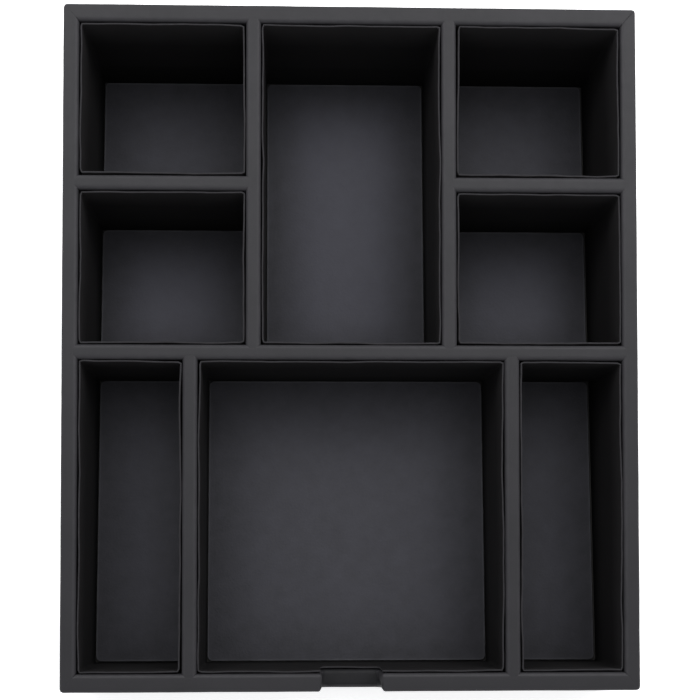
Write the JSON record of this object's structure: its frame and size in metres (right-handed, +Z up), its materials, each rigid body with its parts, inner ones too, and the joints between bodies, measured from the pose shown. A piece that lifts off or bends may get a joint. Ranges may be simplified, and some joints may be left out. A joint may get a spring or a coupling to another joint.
{
  "type": "compartment organiser tray",
  "caption": "Open-topped wedge-shaped organiser tray in black leatherette, with wrapped dividers, lined compartments of several sizes and a finger notch in the front wall.",
  "frame": {"origin": "centre of the underside, on the surface that the tray stands on", "axes": "+Z up, +Y from the low front wall with the notch to the tall back wall, +X to the right seen from the front"},
  "size_m": [0.32, 0.38, 0.0849],
  "materials": {
    "board": "fibreboard dyed black, hidden under its coverings",
    "leatherette": "black leatherette with a fine matt grain",
    "liner_paper": "matt black paper on thin card",
    "floor_paper": "matt black embossed paper, faintly mottled",
    "base_paper": "plain matt black paper"
  },
  "bodies": {
    "root": {"base_sheet": "base_paper", "base_board": "board", "front_board": "board", "back_board": "board", "left_board": "board", "right_board": "board", "front_cover": "leatherette", "back_cover": "leatherette", "left_cover": "leatherette", "right_cover": "leatherette", "notch_patch": "leatherette", "cross_divider_board": "board", "cross_divider_cover": "leatherette", "upper_divider_left_board": "board", "upper_divider_left_cover": "leatherette", "upper_divider_right_board": "board", "upper_divider_right_cover": "leatherette", "short_divider_left_board": "board", "short_divider_left_cover": "leatherette", "short_divider_right_board": "board", "short_divider_right_cover": "leatherette", "lower_divider_left_board": "board", "lower_divider_left_cover": "leatherette", "lower_divider_right_board": "board", "lower_divider_right_cover": "leatherette", "back_left_liner": "liner_paper", "back_left_floor": "floor_paper", "back_right_liner": "liner_paper", "back_right_floor": "floor_paper", "middle_left_liner": "liner_paper", "middle_left_floor": "floor_paper", "middle_right_liner": "liner_paper", "middle_right_floor": "floor_paper", "back_centre_liner": "liner_paper", "back_centre_floor": "floor_paper", "front_left_liner": "liner_paper", "front_left_floor": "floor_paper", "front_right_liner": "liner_paper", "front_right_floor": "floor_paper", "front_centre_liner": "liner_paper", "front_centre_floor": "floor_paper"}
  },
  "joints": []
}
